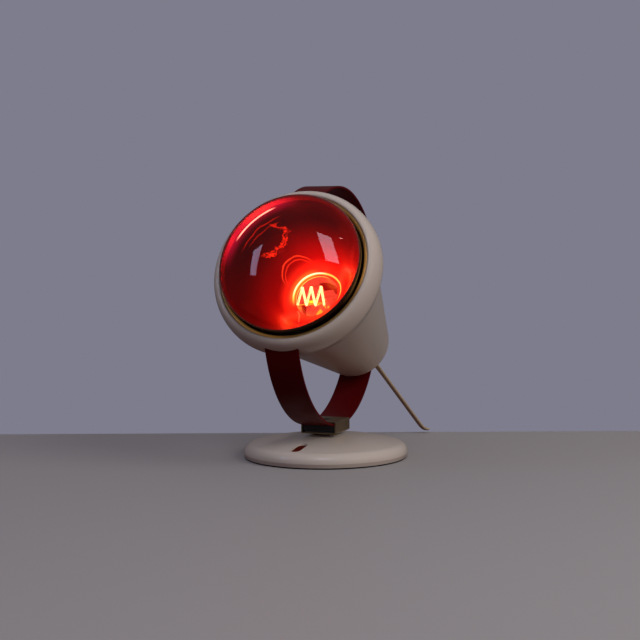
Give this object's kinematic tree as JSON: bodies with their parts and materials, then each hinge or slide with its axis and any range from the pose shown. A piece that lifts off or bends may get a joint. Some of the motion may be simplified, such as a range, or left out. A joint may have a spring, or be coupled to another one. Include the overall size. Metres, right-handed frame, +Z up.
{
  "type": "infrared heat therapy lamp",
  "caption": "Table infrared heat lamp: a bucket-shaped head with a reflector bulb, held by a C-shaped band that slides through a friction clamp on a round weighted base.",
  "frame": {"origin": "centre of the base's round foot, on the surface that the lamp stands on", "axes": "+Z up; the lamp faces -Y; the band lies in the plane X = 0; +X to the right as the lamp is seen from its front"},
  "size_m": [0.1432, 0.3485, 0.2312],
  "materials": {
    "cream_lacquer": "gloss lacquer",
    "burgundy_lacquer": "satin lacquer",
    "clamp_brass": "satin plating",
    "polished_brass": "polished",
    "cast_iron": "as cast",
    "zinc_steel": "zinc plated",
    "black_rubber": "matte",
    "fibre": "pressed fibre",
    "black_nylon": "moulded",
    "ruby_glass": "clear ruby",
    "mirror_glass": "aluminised",
    "tungsten": "glowing",
    "clear_glass": "clear",
    "nickel": "plated",
    "contact_brass": "plain",
    "porcelain": "glazed",
    "red_wire": "insulation",
    "black_wire": "insulation",
    "beige_plastic": "moulded",
    "gold_cord": "flat twin lead"
  },
  "bodies": {
    "base": {"base_shell": "cream_lacquer", "ballast": "cast_iron", "bottom_plate": "zinc_steel", "foot_ring": "black_rubber", "bottom_screws": "zinc_steel"},
    "clamp": {"pivot_washer": "fibre", "pivot_stud": "zinc_steel", "pivot_spring": "zinc_steel", "pivot_nut": "zinc_steel", "clamp_channel": "clamp_brass", "friction_block": "black_nylon", "leaf_spring": "zinc_steel", "top_glide": "black_nylon", "cord_run": "gold_cord", "cord_coil": "gold_cord", "cord_tail": "gold_cord", "cord_tie": "black_nylon", "plug_body": "beige_plastic", "plug_pins": "contact_brass"},
    "head": {"band": "burgundy_lacquer", "band_rivets": "cream_lacquer", "front_shell": "cream_lacquer", "rear_housing": "cream_lacquer", "brass_ring": "polished_brass", "bulb_lens": "ruby_glass", "bulb_reflector": "mirror_glass", "filament": "tungsten", "bulb_stem": "clear_glass", "filament_supports": "nickel", "bulb_cap": "nickel", "cap_contact": "contact_brass", "holder_body": "porcelain", "holder_sleeve": "nickel", "holder_contact": "contact_brass", "holder_bracket": "zinc_steel", "holder_screws": "zinc_steel", "bracket_screws": "zinc_steel", "terminal_screws": "contact_brass", "lead_live": "red_wire", "lead_neutral": "black_wire", "grommet": "beige_plastic", "cord_inlet": "gold_cord", "cord_grip": "beige_plastic"}
  },
  "joints": [
    {"name": "base_swivel", "type": "hinge", "parent": "base", "child": "clamp", "pos_m": [0, 0, 0.0217], "axis": [0, 0, 1], "continuous": true},
    {"name": "head_tilt", "type": "hinge", "parent": "clamp", "child": "head", "pos_m": [0, 0, 0.1294], "axis": [-1, 0, 0], "range_deg": [-57, 43], "deforming": ["cord_run"]}
  ]
}
